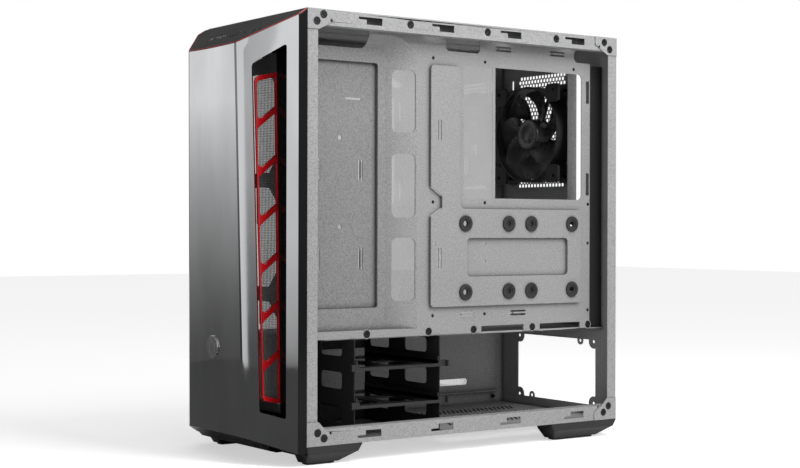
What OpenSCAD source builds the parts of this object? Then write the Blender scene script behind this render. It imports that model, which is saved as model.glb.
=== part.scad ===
// Mid-tower desktop computer case with its right side panel taken off.
// +Z is up, the front bezel faces -Y and the windowed side faces -X.
// The origin is the centre of the overall box, on the surface the feet stand on.

/* [Overall] */
// Width over the bezel
case_w = 217; // [205:1:262]
// Length of the steel chassis, front plate to rear plate
case_l = 428; // [415:1:520]
// Height of the steel chassis, without the feet
case_h = 448; // [440:1:540]
// Height of the feet with their pads
foot_h = 20; // [15:1:28]
// Depth of the front bezel
bezel_d = 54; // [50:1:66]
// How far the rear slot shield stands behind the chassis
rear_proud = 14; // [12:1:17]
// Thickness of the chassis steel
steel_t = 1; // [0.8:0.1:1.2]

/* [Motherboard tray] */
// Distance from the right side's outer plane to the tray
tray_inset = 20.4; // [17:0.2:26]
// Height of the raised L-shaped stamping
emboss_h = 3.5; // [2:0.5:4.5]
// Depth of the tray's front section behind its main face
step_d = 10; // [6:1:13]
// Depth of the recessed front panel
pocket_d = 4.5; // [2:0.5:6]
// Length of the processor cut-out
cpu_l = 174.2; // [150:1:182]
// Height of the processor cut-out
cpu_h = 147; // [120:1:150]
// Outer diameter of a drive grommet
grommet_d = 17.6; // [14:0.2:19]
// Height of a motherboard standoff
standoff_h = 6.5; // [5:0.5:10]

/* [Rear and power supply] */
// Radius of a power supply screw hole
psu_hole_r = 2; // [1.7:0.1:2.5]
// Frame size of the rear fan
fan_s = 120; // [110:1:120]
// Depth of the rear fan
fan_d = 25; // [15:1:32]
// Diameter of the fan's blade circle
blade_d = 112; // [90:1:114]
// Pitch of the hexagonal ventilation holes
hex_pitch = 5.8; // [5:0.1:8]
// Wall left between two hexagonal holes
hex_wall = 1.3; // [0.9:0.1:2]
// Height of the lower chamber, floor to shroud
shroud_h = 107; // [98:1:125]

/* [Drive cage] */
// Distance between the cage's two walls
cage_w = 112.5; // [106:0.5:120]
// Length of the cage, from its mouth inwards
cage_l = 145; // [120:1:150]
// Height from one drive tray to the next
tray_pitch = 39.7; // [34:0.1:42]
// Running clearance between a drive tray and the cage
tray_gap = 0.6; // [0.4:0.1:1.2]

/* [Window] */
// Thickness of the window panel
window_t = 4; // [3:0.5:5]
// How far the thumbscrew heads stand out of the window
thumb_proud = 1.5; // [1:0.1:2]
// Diameter of a thumbscrew head
thumb_d = 13; // [10:0.5:15]

/* [Bezel] */
// Angle of the side facets away from the front face
facet_deg = 36.2; // [33:0.1:39]
// Depth of the straight side strip
strip_d = 10.7; // [8:0.1:13]
// Height that the top slope drops
slope_drop = 33; // [24:1:38]
// How far the front face leans back at its foot
lean = 6; // [3:0.5:7]
// Bulge of the front face at its middle
crown = 2; // [1:0.5:3]
// Thickness of the mirror panel
mirror_t = 3; // [2:0.2:3.4]
// Thickness of the trim frames
trim_t = 3; // [2:0.2:4]
// Pitch of the slanted ribs
rib_pitch = 50.5; // [44:0.5:54]
// Diameter of the blank badge
badge_d = 24; // [16:1:30]
// Clearance round a push button
button_gap = 0.35; // [0.25:0.05:0.5]

/* [Hidden] */
$fn = 32;
eps = 0.01;
touch = 0.3;

// Planes of the case
hw = case_w / 2;
x_win_out = -hw + thumb_proud;
x_win_in = x_win_out + window_t;
x_l = x_win_in + touch;
plate_proud = 0.8;
x_r = hw - plate_proud;
y_f = -(bezel_d + case_l + rear_proud) / 2 + bezel_d;
y_b = y_f + case_l;
z_b = foot_h;
z_t = foot_h + case_h;
in_l = x_l + steel_t;
in_r = x_r - steel_t;
in_f = y_f + steel_t;
in_b = y_b - steel_t;
in_bot = z_b + steel_t;
in_top = z_t - steel_t;

// Motherboard pattern, hung from the top rear corner
atx_y = y_b - 26.6;
atx_z = z_t - 38.1;
atx_cols = [0, -154.94, -227.33];
atx_rows = [-157.48, -203.2, -281.94];
atx_top_rear = -22.86;
tray_x = hw - tray_inset;
tray_in = tray_x - steel_t;
z_sh = z_b + shroud_h;

// Rails and flanges
rail_h = 16.4;
rail_low_h = 17.3;
rail_lip = 12;
flange_w = 13;
hook_l = 29.6;
hook_first = 63.2;
hook_pitch = 95;
screw_head_r = 3.9;
screw_head_h = 1.6;
screw_r = 1.5;
screw_l = 5;

function unit(v) = v / norm(v);

// Outline with each corner rounded by its own radius
function round_poly(p, r, n = 6) = [
    for (i = [0 : len(p) - 1])
    let (a = p[(i + len(p) - 1) % len(p)], b = p[i], c = p[(i + 1) % len(p)],
         u = unit(a - b), v = unit(c - b), half = acos(u * v) / 2,
         d = r[i] / tan(half), m = b + unit(u + v) * (r[i] / sin(half)),
         s = b + u * d - m, e = b + v * d - m,
         a0 = atan2(s[1], s[0]), a1 = atan2(e[1], e[0]),
         sweep = ((a1 - a0 + 540) % 360) - 180)
    for (k = [0 : r[i] > 0 ? n : 0])
    r[i] > 0 ? m + r[i] * [cos(a0 + sweep * k / n), sin(a0 + sweep * k / n)] : b
];

// A flat outline in Y and Z, made t thick along +X from x
module plate_x(x, t) {
    translate([x, 0, 0]) rotate([90, 0, 90]) linear_extrude(t) children();
}

// A flat outline in X and Z, made t thick along +Y from y
module plate_y(y, t) {
    translate([0, y + t, 0]) rotate([90, 0, 0]) linear_extrude(t) children();
}

// A flat outline in X and Y, made t thick along +Z from z
module plate_z(z, t) {
    translate([0, 0, z]) linear_extrude(t) children();
}

module rect(a, b, c, d) {
    translate([a, c]) square([b - a, d - c]);
}

module rrect(a, b, c, d, r) {
    union() {
        rect(a + r, b - r, c, d);
        rect(a, b, c + r, d - r);
        for (x = [a + r, b - r], y = [c + r, d - r])
            translate([x, y]) circle(r);
    }
}

module box(a, b, c, d, e, f) {
    translate([a, c, e]) cube([b - a, d - c, f - e]);
}

// Cylinder along X from x to x + l
module rod_x(x, y, z, r, l) {
    translate([x, y, z]) rotate([0, 90, 0]) cylinder(r = r, h = l);
}

// Cylinder along Y from y to y + l
module rod_y(x, y, z, r, l) {
    translate([x, y + l, z]) rotate([90, 0, 0]) cylinder(r = r, h = l);
}

// Pan-head screw whose head lies in x..x + head height, shank towards -X
module screw_x(x, y, z) {
    difference() {
        union() {
            rod_x(x, y, z, screw_head_r, screw_head_h);
            rod_x(x - screw_l, y, z, screw_r, screw_l + eps);
        }
        for (t = [45, 135])
            translate([x + screw_head_h, y, z]) rotate([t, 0, 0]) cube([1.8, 0.9, 4.4], center = true);
    }
}

// Pressed cup that a screw head sits in, on a sheet whose face is at x
module cup(x, y, z) {
    rod_x(x - steel_t - screw_head_h - 0.2, y, z, screw_head_r + 1.3, screw_head_h + 0.7);
}

// Room for a cup that belongs to a neighbouring sheet
module cup_room(x, y, z) {
    rod_x(x - 7.5, y, z, screw_head_r + 1.5, 8.5);
}

module cup_cut(x, y, z) {
    rod_x(x - screw_head_h - 0.2, y, z, screw_head_r + 0.4, screw_head_h + 1);
    rod_x(x - 6, y, z, screw_r + 0.15, 6);
}

// ---------------------------------------------------------------- chassis

// Positions of the pan-head screws on the right side, as [y, z]
corner_screws_front_top = [[y_f + 11.2, z_t - 12.7], [y_f + 19.3, z_t - 5.5]];
corner_screws_front_low = [[y_f + 13.1, z_b + 13.7], [y_f + 20.9, z_b + 7.7]];
corner_screws_rear_top = [[y_b - 19.7, z_t - 6.4], [y_b - 11.2, z_t - 14.2]];
corner_screws_rear_low = [[y_b - 11.8, z_b + 15.7], [y_b - 19.7, z_b + 8.7]];
rail_screws = [for (s = [0.3025, 0.548, 0.782]) [y_f + s * case_l, z_t - 7.5]];
plate_l = 34;

module corner_outline(front, top) {
    // Small joining plate with one cut corner
    y0 = front ? y_f : y_b;
    z0 = top ? z_t : z_b;
    sy = front ? 1 : -1;
    sz = top ? -1 : 1;
    reach = top ? 21 : 25;
    p = [[0, 0], [plate_l, 0], [plate_l, 9.5], [plate_l - 12, 17], [plate_l - 20, reach], [0, reach]];
    translate([y0, z0]) scale([sy, sz]) polygon(p);
}

module corner_holes(list) {
    for (p = list) translate(p) circle(screw_head_r + 0.4);
}

module corner_plates() color("dimgray") {
    plate_x(x_r, plate_proud) difference() {
        corner_outline(true, true);
        corner_holes(corner_screws_front_top);
        translate([y_f + 28.7, z_t - 11]) circle(1.4);
    }
    plate_x(x_r, plate_proud) difference() {
        corner_outline(false, true);
        corner_holes(corner_screws_rear_top);
        translate([y_b - 27.7, z_t - 11.7]) circle(1.4);
    }
    plate_x(x_r, plate_proud) difference() {
        corner_outline(true, false);
        corner_holes(corner_screws_front_low);
        translate([y_f + 29, z_b + 12.7]) circle(1.4);
    }
    plate_x(x_r, plate_proud) difference() {
        corner_outline(false, false);
        corner_holes(corner_screws_rear_low);
        translate([y_b - 27.7, z_b + 15.7]) circle(1.4);
    }
}

// Outline of one side panel hook slot, narrow at its front end
module hook_slot(y, top) {
    s = top ? 1 : -1;
    z = top ? z_t - 4.2 : z_b + 4.8;
    translate([y, z]) scale([1, s]) {
        translate([0, -2.6]) square([10, 2.6]);
        translate([9.9, -7.5]) square([hook_l - 9.9, 7.5]);
    }
}

module rail_slots(top) {
    for (i = [0 : floor((case_l - hook_first - 40) / hook_pitch)])
        hook_slot(y_f + hook_first + i * hook_pitch, top);
}

// Channel that runs along one edge of the chassis, between the end flanges
module rail(x_face, dir, z0, z1, lip_z) {
    y0 = y_f + flange_w;
    y1 = y_b - flange_w;
    face = dir > 0 ? x_face - steel_t : x_face;
    plate_x(face, steel_t) rect(y0, y1, z0, z1);
    lip_a = dir > 0 ? x_face - rail_lip : x_face + steel_t - eps;
    lip_b = dir > 0 ? x_face - steel_t + eps : x_face + rail_lip;
    box(lip_a, lip_b, y0, y1, lip_z, lip_z + steel_t);
}

module right_top_rail() color("gray") {
    marks = concat(rail_screws, [corner_screws_front_top[1]], [corner_screws_rear_top[0]]);
    difference() {
        union() {
            rail(x_r, 1, z_t - rail_h, z_t, z_t - rail_h);
            for (p = marks) cup(x_r, p[0], p[1]);
        }
        for (p = marks) cup_cut(x_r, p[0], p[1]);
        for (p = [corner_screws_front_top[0], corner_screws_rear_top[1]]) cup_room(x_r, p[0], p[1]);
        box(x_r - 9, in_r, y_f, y_b, in_top, z_t + 1);
        plate_x(x_r - 4, 5) rail_slots(true);
        rod_x(x_r - 3, y_f + 28.7, z_t - 11, 1.4, 4);
        rod_x(x_r - 3, y_b - 27.7, z_t - 11.7, 1.4, 4);
    }
}

module right_bottom_rail() color("gray") {
    marks = [corner_screws_front_low[1], corner_screws_rear_low[1]];
    lip = z_b + rail_low_h - steel_t;
    difference() {
        union() {
            rail(x_r, 1, z_b, z_b + rail_low_h, lip);
            for (p = marks) cup(x_r, p[0], p[1]);
        }
        for (p = marks) cup_cut(x_r, p[0], p[1]);
        for (p = [corner_screws_front_low[0], corner_screws_rear_low[0]]) cup_room(x_r, p[0], p[1]);
        plate_x(x_r - 4, 5) rail_slots(false);
        rod_x(x_r - 3, y_f + 29, z_b + 12.7, 1.4, 4);
        rod_x(x_r - 3, y_b - 27.7, z_b + 15.7, 1.4, 4);
    }
}

// Thumbscrew positions on the window side, as [y, z]
thumb_in = 18;
thumb_holes = [for (y = [y_f + thumb_in, y_b - thumb_in], z = [z_b + 9, z_t - 9]) [y, z]];
thumb_shank_r = 2;

module left_top_rail() color("gray") {
    difference() {
        rail(x_l, -1, z_t - rail_h, z_t, z_t - rail_h);
        for (p = thumb_holes) rod_x(x_l - 1, p[0], p[1], thumb_shank_r + touch, 4);
    }
}

module left_bottom_rail() color("gray") {
    difference() {
        rail(x_l, -1, z_b, z_b + rail_low_h, z_b + rail_low_h - steel_t);
        for (p = thumb_holes) rod_x(x_l - 1, p[0], p[1], thumb_shank_r + touch, 4);
    }
}

// Front fan openings, counted down from the top
fan_pitch = 120.5;
fan_top_z = z_t - 113.7;
fan_open = 105;
front_fans = 3;

// Square opening with cut corners
module fan_opening(x, z, s, cut) {
    h = s / 2;
    c = h - cut;
    translate([x, z]) polygon([[-c, -h], [c, -h], [h, -c], [h, c], [c, h], [-c, h], [-h, c], [-h, -c]]);
}

module fan_screw_slots(x, z, d) {
    for (sx = [-1, 1], sz = [-1, 1])
        translate([x + sx * d / 2, z + sz * d / 2]) circle(2.3);
}

module front_plate() color("gray") {
    plate_y(y_f, steel_t) difference() {
        rect(x_l, x_r, z_b, z_t);
        for (i = [0 : front_fans - 1]) {
            fan_opening(0, fan_top_z - i * fan_pitch, fan_open, 21);
            fan_screw_slots(0, fan_top_z - i * fan_pitch, 105);
        }
        for (x = clip_xs, z = clip_zs) translate([x, z]) circle(clip_hole_r);
    }
    difference() {
        union() {
            plate_x(x_r - steel_t, steel_t) rect(in_f - eps, y_f + flange_w, z_b, z_t);
            cup(x_r, corner_screws_front_top[0][0], corner_screws_front_top[0][1]);
            cup(x_r, corner_screws_front_low[0][0], corner_screws_front_low[0][1]);
        }
        cup_cut(x_r, corner_screws_front_top[0][0], corner_screws_front_top[0][1]);
        cup_cut(x_r, corner_screws_front_low[0][0], corner_screws_front_low[0][1]);
    }
    plate_x(x_l, steel_t) rect(in_f - eps, y_f + flange_w, z_b, z_t);
}

// Rear features, placed from the tray, the floor and the motherboard pattern
io_x1 = tray_x - 5.5;
io_x0 = io_x1 - 44.45;
io_z1 = atx_z + 4.4;
io_z0 = io_z1 - 158.75;
rear_fan_x = io_x0 - 65;
rear_fan_z = z_t - 108;
psu_x = tray_x - 86.2;
psu_z = z_b + 51.4;
slot_pitch = 20.32;
slot_count = 7;
slot_z0 = z_sh + 16;
slot_x0 = tray_x - 130;
slot_x1 = tray_x - 19.5;
slot_w = 13;
mesh_half = 46;
io_lip = 13;

// Hexagonal holes on a triangular grid, with extra rows at the foot of the rectangle
module hex_field(cx, cz, wx, wz, extra) {
    dz = hex_pitch * sqrt(3) / 2;
    nx = floor(wx / 2 / hex_pitch);
    nz = floor(wz / 2 / dz);
    for (j = [-nz - extra : nz], i = [-nx : nx])
        translate([cx + (i + (abs(j) % 2) / 2) * hex_pitch, cz + j * dz])
            rotate(30) circle(r = (hex_pitch - hex_wall) / sqrt(3), $fn = 6);
}

// Power supply opening: a rectangle less an ear round each corner screw
module psu_opening() {
    translate([psu_x, psu_z]) difference() {
        rect(-72, 72, -39, 39);
        for (s = [-1, 1], t = [-1, 1])
            translate([s * 69, t * 37]) circle(8.5);
        for (t = [-1, 1]) {
            translate([t * 45, t * 37]) circle(5);
            rect(min(t * 40, t * 50), max(t * 40, t * 50), min(t * 37, t * 41), max(t * 37, t * 41));
        }
    }
}

module psu_holes() {
    translate([psu_x, psu_z]) {
        for (s = [-1, 1], t = [-1, 1]) translate([s * 69, t * 37]) circle(psu_hole_r);
        for (t = [-1, 1]) translate([t * 45, t * 37]) circle(psu_hole_r);
        for (t = [-1, 1]) translate([-t * 69, t * 27]) circle(psu_hole_r);
    }
}

fan_hole_c = 105;

module rear_plate() color("gray") {
    plate_y(in_b, steel_t) difference() {
        rect(x_l, x_r, z_b, z_t);
        rect(io_x0, io_x1, io_z0, io_z1);
        hex_field(rear_fan_x, rear_fan_z + 8, 2 * mesh_half, 136, 1);
        fan_screw_slots(rear_fan_x, rear_fan_z, fan_hole_c);
        rrect(rear_fan_x - 56.4, rear_fan_x - 53, rear_fan_z + 58.5, rear_fan_z + 72, 1.6);
        for (i = [0 : slot_count - 1]) {
            z = slot_z0 + i * slot_pitch;
            rect(slot_x0, slot_x1, z - slot_w / 2, z + slot_w / 2);
            translate([slot_x1 + 6, z + slot_pitch / 2 - 4]) circle(1.7);
        }
        psu_opening();
        psu_holes();
        for (z = [slot_z0 - 8, slot_z0 + 126]) translate([shield_x + 6, z]) circle(shield_hole_r);
    }
    difference() {
        union() {
            plate_x(x_r - steel_t, steel_t) rect(y_b - flange_w, in_b + eps, z_b, z_t);
            cup(x_r, corner_screws_rear_top[1][0], corner_screws_rear_top[1][1]);
            cup(x_r, corner_screws_rear_low[0][0], corner_screws_rear_low[0][1]);
        }
        cup_cut(x_r, corner_screws_rear_top[1][0], corner_screws_rear_top[1][1]);
        cup_cut(x_r, corner_screws_rear_low[0][0], corner_screws_rear_low[0][1]);
    }
    plate_x(x_l, steel_t) rect(y_b - flange_w, in_b + eps, z_b, z_t);
    // Lip along the input and output opening
    plate_x(io_x0 - steel_t, steel_t) rect(in_b - io_lip, in_b + eps, io_z0 + 2, io_z1 - 2);
    slot_ledge();
}

// One vent slot in a floor or roof, turned about its centre
module vent_slot(l, w, a) {
    rotate(a) square([l, w], center = true);
}

vent_w = 3;
vent_step = 6.5;

module vent_field(x0, x1, y0, y1, l, a) {
    // Rows of slanted slots, each row as wide as one slot's reach across X
    reach = l * cos(a) + 5;
    rows = floor((x1 - x0) / reach);
    for (r = [0 : rows - 1], y = [y0 : vent_step : y1])
        translate([x0 + (r + 0.5) * (x1 - x0) / rows, y]) vent_slot(l, vent_w, a);
}

top_vent_x = hw - 30;
top_recess_d = 2.4;

module top_plate() color("gray") {
    x0 = -top_vent_x;
    x1 = top_vent_x - 8;
    y0 = y_f + 40;
    y1 = y_b - 52;
    plate_z(in_top, steel_t) difference() {
        rect(in_l, in_r, in_f, in_b);
        rrect(x0, x1, y0, y1, 8);
    }
    difference() {
        plate_z(in_top - top_recess_d, top_recess_d + eps)
            rrect(x0 - steel_t, x1 + steel_t, y0 - steel_t, y1 + steel_t, 9);
        plate_z(in_top - top_recess_d + steel_t, top_recess_d) rrect(x0, x1, y0, y1, 8);
        plate_z(in_top - top_recess_d - 1, steel_t + 2)
            vent_field(x0 + 6, x1 - 6, y0 + 18, y1 - 18, 50, 45);
    }
}

top_filter_gap = 0.5;

module top_filter_frame() color("black") {
    x0 = -top_vent_x + top_filter_gap;
    x1 = top_vent_x - 8 - top_filter_gap;
    y0 = y_f + 40 + top_filter_gap;
    y1 = y_b - 52 - top_filter_gap;
    plate_z(in_top - top_recess_d + steel_t + 0.1, 1.8) difference() {
        rrect(x0, x1, y0, y1, 7.5);
        rrect(x0 + 7, x1 - 7, y0 + 7, y1 - 7, 3);
    }
}

module top_filter_mesh() color("dimgray") {
    x0 = -top_vent_x + top_filter_gap + 7;
    x1 = top_vent_x - 8 - top_filter_gap - 7;
    plate_z(in_top - top_recess_d + steel_t + 0.7, 0.5)
        rrect(x0, x1, y_f + 47 + top_filter_gap, y_b - 59 - top_filter_gap, 3);
}

// Floor of the case
psu_vent_y0 = y_b - 195;
psu_vent_y1 = y_b - 30;

module base_plate() color("gray") {
    plate_z(z_b, steel_t) difference() {
        rect(in_l, in_r, in_f, in_b);
        vent_field(-68, 62, psu_vent_y0, psu_vent_y1, 34, -30);
    }
    filter_guides();
}

// ------------------------------------------------------- motherboard tray

// Front section and its slanted border
step_y1 = atx_y - 244.4;
step_y0 = step_y1 - 38.4;
step_z1 = z_t - 16;
step_z0 = z_t - 30.5;
tray_y1 = y_b - 22.5;
bend_r = 2;

// L-shaped stamping, drawn e inside its outer edge
module l_outline(e) {
    a = atx_y - 232.4 + e;
    b = atx_y - 192.4 - e;
    c = atx_y - 13.6 - e;
    z0 = atx_z - 272.4 + e;
    z1 = atx_z - 164.6 - e;
    z2 = atx_z - 7.9 - e;
    n0 = atx_z - 173.9 + e;
    n3 = atx_z - 140.2 - e;
    d = 15.4;
    p = [[a, z0], [c, z0], [c, z1], [b, z1], [b, z2], [a, z2],
         [a, n3], [a + d, n3 - 10.3], [a + d, n0 + 9.6], [a, n0]];
    r = [4, 4, 4, e > 0 ? 8 : 7, 4, 4, 2, 3, 3, 2];
    polygon(round_poly(p, r));
}

module ssd_points() {
    for (y = [0, 61.7, 94.8, 156.5], z = [-180.8, -256.9])
        translate([atx_y - 184.8 + y, atx_z + z]) children();
}

// Vertical or flat cable tie bridges as [y, z, upright]
tie_bridges = [
    for (z = [-123.9, -218.9], y = [49.3, 103.4]) [y_f + y - 15, atx_z + z, true, true],
    for (z = [-78.4, -218.9]) [atx_y - 221, atx_z + z, true, false],
    for (y = [-128.4, -48.4]) [atx_y + y, z_t - 22, false, false],
    for (y = [-180.6, -106.4]) [atx_y + y, z_sh + 21, false, false]
];

module tie_slots(deep) {
    // A pair of slots each side of every bridge
    for (t = tie_bridges)
        if (t[3] == deep)
            translate([t[0], t[1]]) rotate(t[2] ? 90 : 0)
                for (s = [-1, 1]) translate([0, s * 1.9]) square([22, 2], center = true);
}

module tie_bars(deep, x) {
    // The strip between the slots is pushed out as a low bridge
    for (t = tie_bridges)
        if (t[3] == deep)
            translate([x, t[0], t[1]]) rotate([t[2] ? 90 : 0, 0, 0]) cube([1.6, 16, 1.8], center = true);
}

band_cutouts = [[-83, -15.2], [-174.9, -105.5], [-265.2, -196.9]];
cut_y0 = step_y1 - 32.4;
cut_y1 = step_y1 - 6.2;

// Solid that fills the stepped front section, e inside the outer skin
module step_solid(e, x_out) {
    y0 = in_f + touch;
    low = z_sh + 7;
    hull() {
        plate_x(x_out - 0.1, 0.1)
            polygon(round_poly([[y0, low + e], [step_y1 - e, low + e],
                                [step_y1 - e, step_z1 - e], [y0, step_z1 - e]], [0, 0, 34, 0]));
        plate_x(tray_x - step_d - steel_t + e, eps)
            polygon(round_poly([[y0, low + e], [step_y0 - e, low + e],
                                [step_y0 - e, step_z0 - e], [y0, step_z0 - e]], [0, 0, 11, 0]));
    }
}

pocket_y1 = step_y0 - 11;
pocket_z0 = atx_z - 271.7;
pocket_z1 = atx_z - 9.3;
cpu_y0 = atx_y - 184.8;
cpu_z1 = atx_z - 5.5;
cpu_r = 5.5;
cut_deep = 24;

module tray_main_outline() {
    difference() {
        rect(in_f + touch, tray_y1 - bend_r, z_sh, in_top);
        // Cut-out behind the processor
        rrect(cpu_y0, cpu_y0 + cpu_l, cpu_z1 - cpu_h, cpu_z1, cpu_r);
        // Cable cut-outs along the top
        rrect(atx_y - 210, atx_y - 162.1, z_t - 29.2, z_t - 13, 5);
        rrect(atx_y - 22.4, tray_y1 + 10, z_t - 30, z_t - 15, 6);
        // Motherboard holes
        for (y = atx_cols, z = atx_rows) translate([atx_y + y, atx_z + z]) circle(1.9);
        for (y = [atx_top_rear, atx_cols[1], atx_cols[2]]) translate([atx_y + y, atx_z]) circle(1.9);
        translate([atx_cols[1] + atx_y, atx_rows[1] + atx_z - 20.2]) circle(1.9);
        tie_slots(false);
        for (z = rear_slots) rect(tray_y1 - 7.5, tray_y1 - bend_r - 0.5, z - 13, z + 13);
        for (w = shroud_windows) rect(atx_y + w[0], atx_y + w[1], z_sh - 1, z_sh + 7.5);
    }
}

// Heights of the tie openings along the tray's rear edge
rear_slots = [atx_z - 25.9, atx_z - 133.9];

// Screws along the tray's lower flange
flange_screws = [for (d = [-314.2, -232.7, -170.4, -85, 0.6]) [atx_y + d, z_sh + 4]];
shroud_windows = [[-159.4, -98], [-73.9, -12.1]];

module motherboard_tray() color("gray") {
    difference() {
        union() {
            plate_x(tray_in, steel_t) tray_main_outline();
            plate_x(tray_in, steel_t + emboss_h) l_outline(0);
            step_solid(0, tray_x - eps);
            // Recessed front panel, stamped further in
            plate_x(tray_x - step_d - steel_t - pocket_d, pocket_d + 2)
                rrect(in_f + touch, pocket_y1 + steel_t, pocket_z0 - steel_t, pocket_z1 + steel_t, 4);
            tie_bars(false, tray_x + 0.6);
            // Rounded rear edge, turned inwards
            difference() {
                translate([tray_x - bend_r, tray_y1 - bend_r, z_sh]) cylinder(r = bend_r, h = in_top - z_sh);
                translate([tray_x - bend_r, tray_y1 - bend_r, z_sh - 1])
                    cylinder(r = bend_r - steel_t, h = in_top - z_sh + 2);
                box(0, tray_x - bend_r, y_f, y_b, 0, z_t);
                box(0, tray_x + 1, y_f, tray_y1 - bend_r, 0, z_t);
                plate_x(tray_x - 20, 30) rrect(atx_y - 22.4, tray_y1 + 10, z_t - 30, z_t - 15, 6);
            }
            box(tray_x - bend_r - 6, tray_x - bend_r + eps, tray_y1 - steel_t, tray_y1, z_sh, z_t - 32);
        }
        // Inside of the stamping, then its own recessed rectangle
        difference() {
            plate_x(tray_in - 1, emboss_h + 1) l_outline(steel_t);
            plate_x(tray_in - 2, emboss_h + 4)
                rrect(atx_y - 183.4, atx_y - 33.4, atx_z - 240.9, atx_z - 195.9, 6);
        }
        plate_x(tray_x, emboss_h + 1)
            rrect(atx_y - 182.4, atx_y - 34.4, atx_z - 239.9, atx_z - 196.9, 5);
        // Holes that pass through the stamping
        plate_x(tray_in - 2, 12) {
            rrect(cpu_y0, cpu_y0 + cpu_l, cpu_z1 - cpu_h, cpu_z1, cpu_r);
            ssd_points() circle(grommet_d / 2 - 2.1);
            for (y = [atx_cols[1], atx_cols[2]]) translate([atx_y + y, atx_z + atx_rows[1]]) circle(1.9);
            translate([atx_y + atx_cols[1], atx_z + atx_rows[1] - 20.2]) circle(1.9);
            tie_slots(false);
        }
        // Hollow of the stepped front section
        step_solid(steel_t, tray_x + 1);
        plate_x(tray_x - step_d - pocket_d, 20)
            rrect(in_f - 9, pocket_y1, pocket_z0, pocket_z1, 3);
        plate_x(tray_x - step_d - 12, cut_deep) {
            for (c = band_cutouts) rrect(cut_y0, cut_y1, atx_z + c[0], atx_z + c[1], 6.5);
            rrect(in_f - 9, step_y0 - 28, z_t - 33, z_t - 13, 6);
            tie_slots(true);
            translate([y_f + 79, atx_z - 48.4]) square([20, 2.2], center = true);
            for (z = [-90.5, -184.9]) translate([y_f + 62, atx_z + z]) circle(2.6);
        }
        for (p = flange_screws) cup_cut(tray_x, p[0], p[1]);
    }
    tie_bars(true, tray_x - step_d - pocket_d + 0.5);
    // Lower flange with the cups for its screws
    for (p = flange_screws)
        difference() {
            cup(tray_x, p[0], p[1]);
            cup_cut(tray_x, p[0], p[1]);
        }
}

// Black wall behind the tray's rear edge, which closes the gap up to the rear plate
module tray_return() color("black") {
    box(io_x1 + touch, io_x1 + touch + steel_t, tray_y1, in_b, z_sh, z_t - 32);
}

module ssd_grommets() color("black") {
    xo = tray_x + emboss_h;
    for (y = [0, 61.7, 94.8, 156.5], z = [-180.8, -256.9])
        translate([0, atx_y - 184.8 + y, atx_z + z]) difference() {
            union() {
                rod_x(xo, 0, 0, grommet_d / 2, 1.8);
                rod_x(xo - steel_t - eps, 0, 0, grommet_d / 2 - 2.3, steel_t + 2 * eps);
                rod_x(xo - steel_t - 1.8, 0, 0, grommet_d / 2, 1.8);
            }
            rod_x(xo - 6, 0, 0, 3.2, 12);
            rod_x(xo + 0.8, 0, 0, 5.4, 4);
        }
}

module standoff_at(y, z) {
    translate([tray_in - standoff_h, atx_y + y, atx_z + z]) rotate([0, 90, 0]) difference() {
        union() {
            cylinder(r = 2.9, h = standoff_h, $fn = 6);
            cylinder(r = 1.8, h = standoff_h + steel_t);
        }
        translate([0, 0, -1]) cylinder(r = 1.3, h = 6);
    }
}

module standoffs() color("black") {
    for (y = atx_cols, z = [atx_rows[0], atx_rows[2]]) standoff_at(y, z);
    for (y = [atx_top_rear, atx_cols[1], atx_cols[2]]) standoff_at(y, 0);
}

// ---------------------------------------------------- lower chamber

shroud_y0 = y_f + 34;
shroud_x0 = in_l + 1;
cage_y0 = y_f + 67.6;
cage_y1 = cage_y0 + cage_w;
cage_x1 = hw - 15;
cage_x0 = cage_x1 - cage_l;
tray_z = [z_b + 33.4 + tray_pitch, z_b + 33.4];

module psu_shroud() color("dimgray") {
    difference() {
        box(shroud_x0, tray_in, shroud_y0, in_b, z_sh - steel_t, z_sh);
        for (p = flange_screws) cup_room(tray_x, p[0], p[1]);
    }
    // Side wall that stands on the lip of the left bottom rail
    plate_x(shroud_x0, steel_t) difference() {
        rect(shroud_y0, y_b - flange_w - 1, z_b + rail_low_h, z_sh - eps);
        rrect(y_b - 120, y_b - 60, z_b + 26, z_b + 34, 3);
    }
    // Upturned flange behind the tray's lower edge
    plate_x(tray_in - steel_t, steel_t) difference() {
        rect(shroud_y0, tray_y1 - 8, z_sh - eps, z_sh + 7);
        for (p = flange_screws) translate(p) circle(screw_head_r + 1.5);
        for (w = shroud_windows) rect(atx_y + w[0], atx_y + w[1], z_sh + 1, z_sh + 7.5);
    }
}

cage_windows = [[23.6, 64.8], [96, 134.6]];
cage_top = z_sh - steel_t;
ledge_w = 5;

module cage_wall(y) {
    plate_y(y, steel_t) difference() {
        rect(cage_x0, cage_x1, in_bot, cage_top);
        for (c = cage_windows, z = [z_b + 17, z_b + 52, z_b + 87])
            if (z + 14 < cage_top) rrect(cage_x1 - c[1], cage_x1 - c[0], z, min(z + 18, cage_top - 3), 4);
    }
}

module drive_cage() color("dimgray") {
    cage_wall(cage_y0);
    cage_wall(cage_y1 - steel_t);
    // Ledges that carry the drive trays
    for (z = tray_z) {
        a = cage_y0 + steel_t;
        b = cage_y1 - steel_t;
        box(cage_x0, cage_x1 - 6, a - eps, a + ledge_w, z - 0.4 - steel_t, z - 0.4);
        box(cage_x0, cage_x1 - 6, b - ledge_w, b + eps, z - 0.4 - steel_t, z - 0.4);
    }
    // Feet, roof flanges and back strip
    box(cage_x0, cage_x1, cage_y0 - 8, cage_y0 + eps, in_bot, in_bot + steel_t);
    box(cage_x0, cage_x1, cage_y1 - eps, cage_y1 + 8, in_bot, in_bot + steel_t);
    box(cage_x0, cage_x0 + steel_t, cage_y0, cage_y1, cage_top - 22, cage_top);
    box(cage_x0, cage_x0 + steel_t, cage_y0, cage_y1, in_bot, in_bot + 20);
}

tray_wall = 2.2;
drive_hole_x = 44.45;
drive_hole_y = 95.25;
tray_side_h = 11;
arm_out = 9;
arm_in = 3;
arm_h = 7;

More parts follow.
